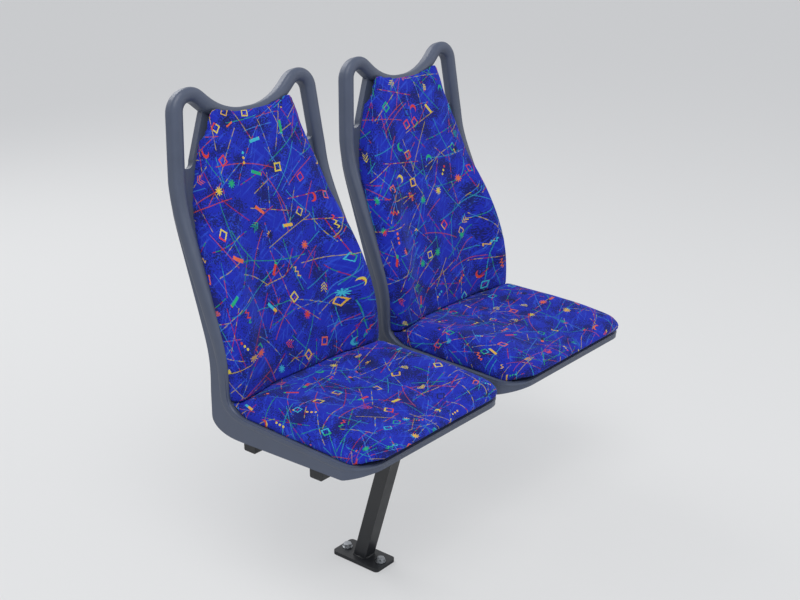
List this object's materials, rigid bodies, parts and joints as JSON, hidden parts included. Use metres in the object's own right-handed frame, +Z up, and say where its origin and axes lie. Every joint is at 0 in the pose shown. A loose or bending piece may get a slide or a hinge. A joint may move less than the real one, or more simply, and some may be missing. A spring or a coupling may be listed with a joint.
{
  "type": "twin bus passenger seat",
  "caption": "Twin passenger seat of a city bus: moulded shells with loop grab handles, upholstered back and seat pads, on a steel cross frame with a wall bracket and a slanted leg.",
  "frame": {"origin": "centre of the two floor bolts, on the underside of the foot plate", "axes": "+Z up; the seats face -Y; +X runs from the aisle to the bus's wall"},
  "size_m": [0.917, 0.5307, 0.969],
  "materials": {
    "shell_plastic": "fine-grained moulding",
    "cover_plastic": "fine-grained moulding",
    "moquette": "short-pile woven velour",
    "frame_steel": "powder coat",
    "cap_plastic": "smooth",
    "bolt_zinc": "zinc plated"
  },
  "bodies": {
    "root": {"shell_aisle": "shell_plastic", "shell_window": "shell_plastic", "back_cover_aisle": "cover_plastic", "back_cover_window": "cover_plastic", "back_pad_aisle": "moquette", "back_pad_window": "moquette", "seat_pad_aisle": "moquette", "seat_pad_window": "moquette", "seat_rail_aisle_left": "frame_steel", "seat_rail_aisle_right": "frame_steel", "seat_rail_window_left": "frame_steel", "seat_rail_window_right": "frame_steel", "front_beam": "frame_steel", "rear_beam": "frame_steel", "front_beam_cap": "cap_plastic", "rear_beam_cap": "cap_plastic", "wall_bracket": "frame_steel", "leg_head": "frame_steel", "leg": "frame_steel", "foot_plate": "frame_steel"}
  },
  "joints": []
}
